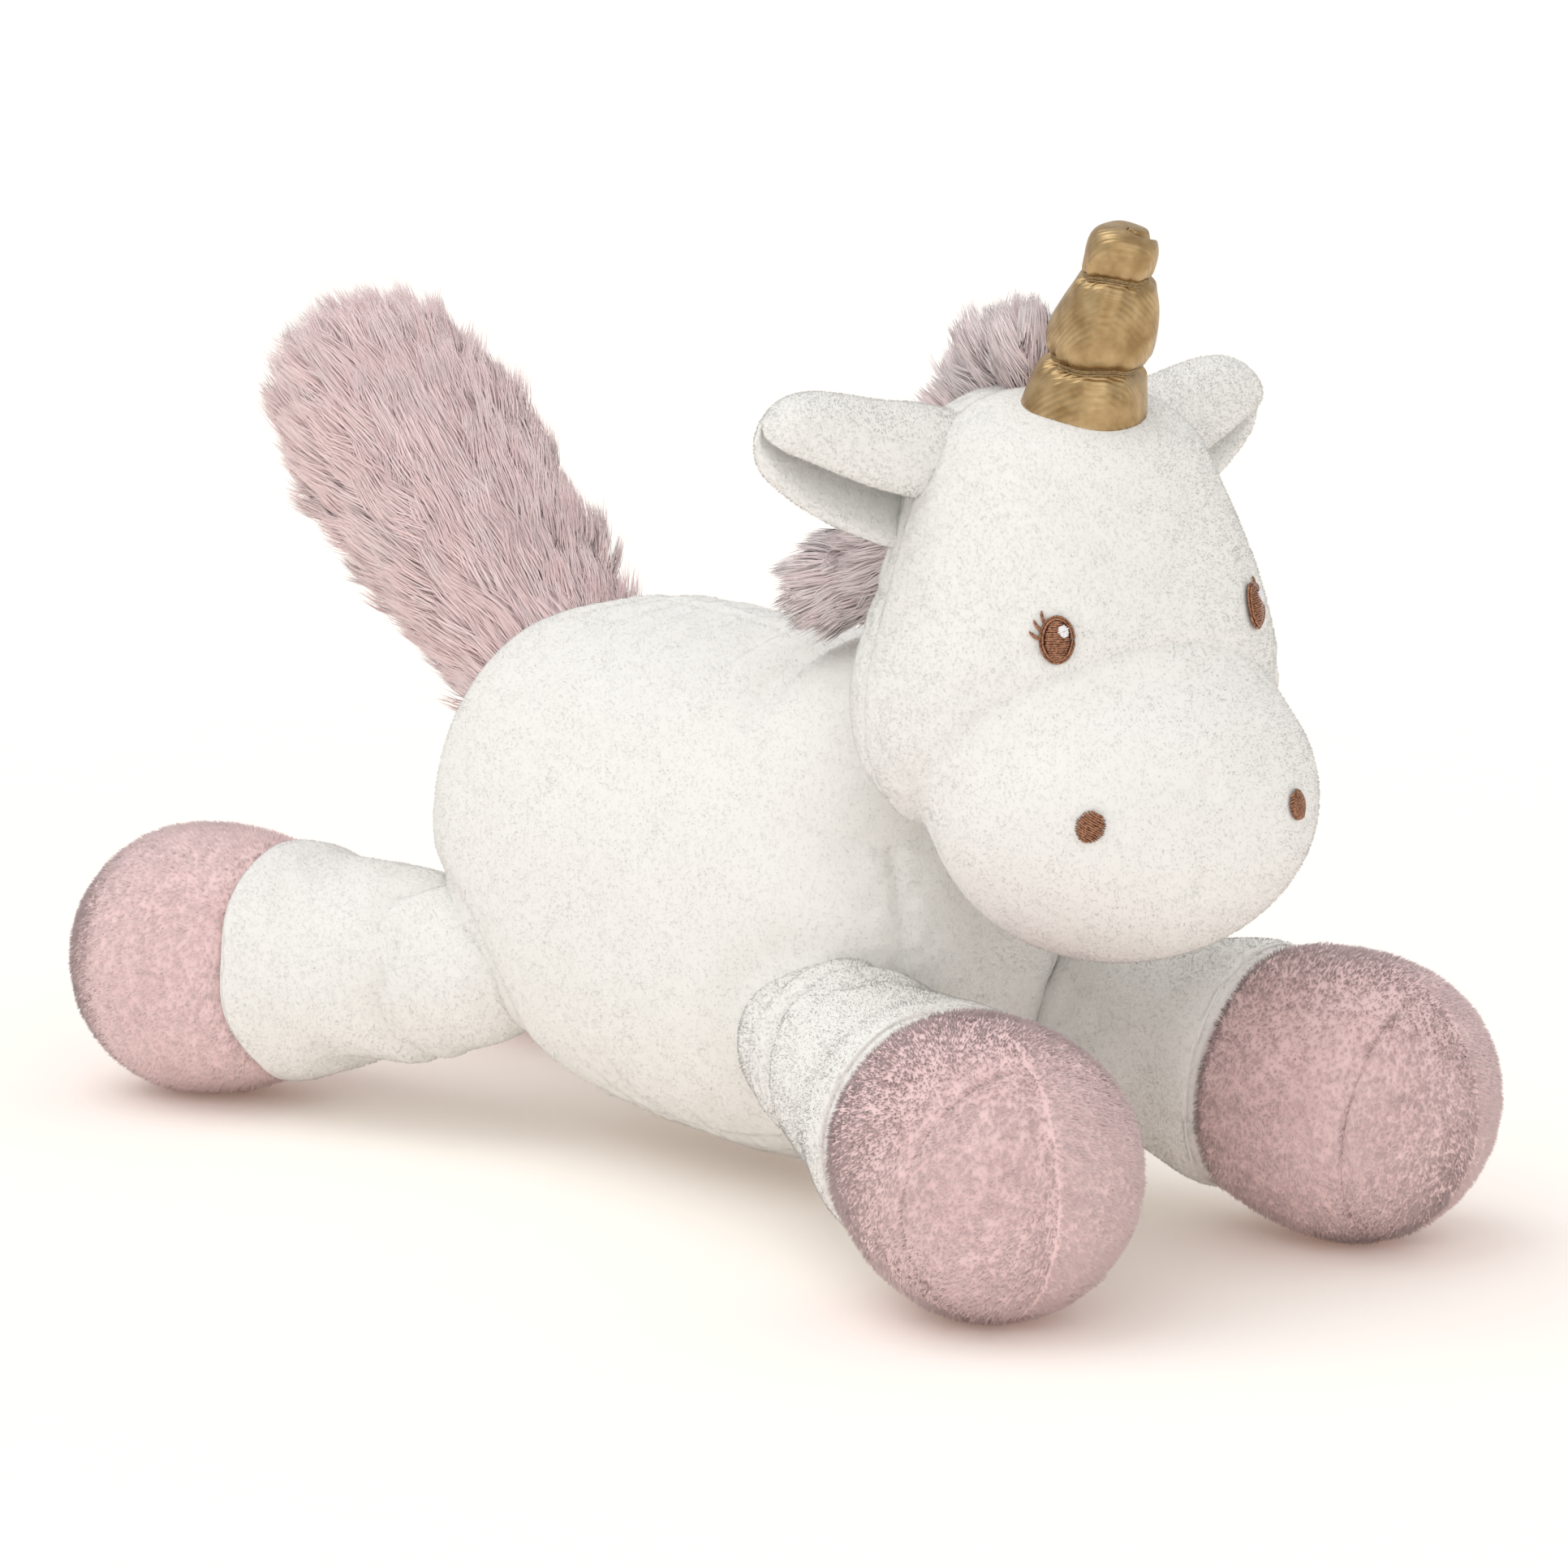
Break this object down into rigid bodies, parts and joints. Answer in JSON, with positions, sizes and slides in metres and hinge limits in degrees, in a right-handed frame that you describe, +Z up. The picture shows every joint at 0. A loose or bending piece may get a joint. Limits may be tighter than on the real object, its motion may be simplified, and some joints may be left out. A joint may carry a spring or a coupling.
{
  "type": "plush unicorn",
  "caption": "Small lying plush unicorn with round hooves, a stuffed satin horn, long-pile mane and tail, and soft sewn limbs, neck, tail and ears that bend and spring back.",
  "frame": {"origin": "on the floor under the middle of the toy's box", "axes": "+Z up, the face looks along -Y, the toy's left side is +X"},
  "size_m": [0.1102, 0.2142, 0.1423],
  "materials": {
    "white_plush": "short soft pile, about 1.5 mm, brushed",
    "pink_plush": "short soft pile, about 2 mm, brushed in streaks",
    "pink_long_pile": "long shaggy pile, about 10 mm",
    "gold_satin": "woven satin with a soft metallic sheen",
    "gold_thread": "twisted sewing thread",
    "copper_thread": "metallic embroidery thread",
    "white_thread": "embroidery thread",
    "fibre_fill": "loose polyester wadding"
  },
  "bodies": {
    "torso": {"torso_left_panel": "white_plush", "torso_right_panel": "white_plush", "torso_belly_gusset": "white_plush", "torso_stuffing": "fibre_fill"},
    "neck": {"neck_stuffing": "fibre_fill"},
    "head": {"head_face_panel": "white_plush", "head_muzzle_panel": "white_plush", "head_back_left_panel": "white_plush", "head_back_right_panel": "white_plush", "head_stuffing": "fibre_fill", "left_eye_embroidery": "copper_thread", "right_eye_embroidery": "copper_thread", "left_eye_highlight": "white_thread", "right_eye_highlight": "white_thread", "left_nostril_embroidery": "copper_thread", "right_nostril_embroidery": "copper_thread", "horn_satin_sleeve": "gold_satin", "horn_stuffing": "fibre_fill", "horn_wrap_threads": "gold_thread", "mane_left_panel": "pink_long_pile", "mane_right_panel": "pink_long_pile", "mane_stuffing": "fibre_fill"},
    "left_ear": {"left_ear_outer": "white_plush", "left_ear_lining": "white_plush"},
    "right_ear": {"right_ear_outer": "white_plush", "right_ear_lining": "white_plush"},
    "tail": {"tail_left_panel": "pink_long_pile", "tail_right_panel": "pink_long_pile", "tail_stuffing": "fibre_fill"},
    "left_front_leg": {"left_front_leg_sleeve": "white_plush", "left_front_leg_hoof_band": "pink_plush", "left_front_leg_hoof_cap": "pink_plush", "left_front_leg_stuffing": "fibre_fill"},
    "left_hind_leg": {"left_hind_leg_sleeve": "white_plush", "left_hind_leg_hoof_band": "pink_plush", "left_hind_leg_hoof_cap": "pink_plush", "left_hind_leg_stuffing": "fibre_fill"},
    "right_front_leg": {"right_front_leg_sleeve": "white_plush", "right_front_leg_hoof_band": "pink_plush", "right_front_leg_hoof_cap": "pink_plush", "right_front_leg_stuffing": "fibre_fill"},
    "right_hind_leg": {"right_hind_leg_sleeve": "white_plush", "right_hind_leg_hoof_band": "pink_plush", "right_hind_leg_hoof_cap": "pink_plush", "right_hind_leg_stuffing": "fibre_fill"}
  },
  "joints": [
    {"name": "head_turn", "type": "hinge", "parent": "torso", "child": "neck", "pos_m": [0, -0.0435, 0.06], "axis": [0, 0, 1], "range_deg": [-12, 22], "stiffness_Nm_per_rad": 0.25},
    {"name": "head_nod", "type": "hinge", "parent": "neck", "child": "head", "pos_m": [0, -0.0435, 0.06], "axis": [-0.989, 0.1478, 0], "range_deg": [-3, 10], "stiffness_Nm_per_rad": 0.6},
    {"name": "tail_lift", "type": "hinge", "parent": "torso", "child": "tail", "pos_m": [0, 0.044, 0.063], "axis": [1, 0, 0], "range_deg": [-15, 20], "stiffness_Nm_per_rad": 0.1},
    {"name": "left_front_leg_sweep", "type": "hinge", "parent": "torso", "child": "left_front_leg", "pos_m": [0.02, -0.0385, 0.027], "axis": [0, 0, 1], "range_deg": [-4, 30], "stiffness_Nm_per_rad": 0.2},
    {"name": "left_hind_leg_lift", "type": "hinge", "parent": "torso", "child": "left_hind_leg", "pos_m": [0.022, 0.0365, 0.025], "axis": [0.9652, -0.2614, 0], "range_deg": [-6, 22], "stiffness_Nm_per_rad": 0.6},
    {"name": "right_front_leg_sweep", "type": "hinge", "parent": "torso", "child": "right_front_leg", "pos_m": [-0.02, -0.0385, 0.027], "axis": [0, 0, -1], "range_deg": [-4, 30], "stiffness_Nm_per_rad": 0.2},
    {"name": "right_hind_leg_lift", "type": "hinge", "parent": "torso", "child": "right_hind_leg", "pos_m": [-0.022, 0.0365, 0.025], "axis": [0.9652, 0.2614, 0], "range_deg": [-6, 22], "stiffness_Nm_per_rad": 0.6},
    {"name": "left_ear_flap", "type": "hinge", "parent": "head", "child": "left_ear", "pos_m": [0.01912, -0.06102, 0.107], "axis": [-0.1478, -0.989, 0], "range_deg": [-20, 20], "stiffness_Nm_per_rad": 0.02},
    {"name": "right_ear_flap", "type": "hinge", "parent": "head", "child": "right_ear", "pos_m": [-0.02341, -0.05466, 0.107], "axis": [0.1478, 0.989, 0], "range_deg": [-20, 20], "stiffness_Nm_per_rad": 0.02}
  ]
}
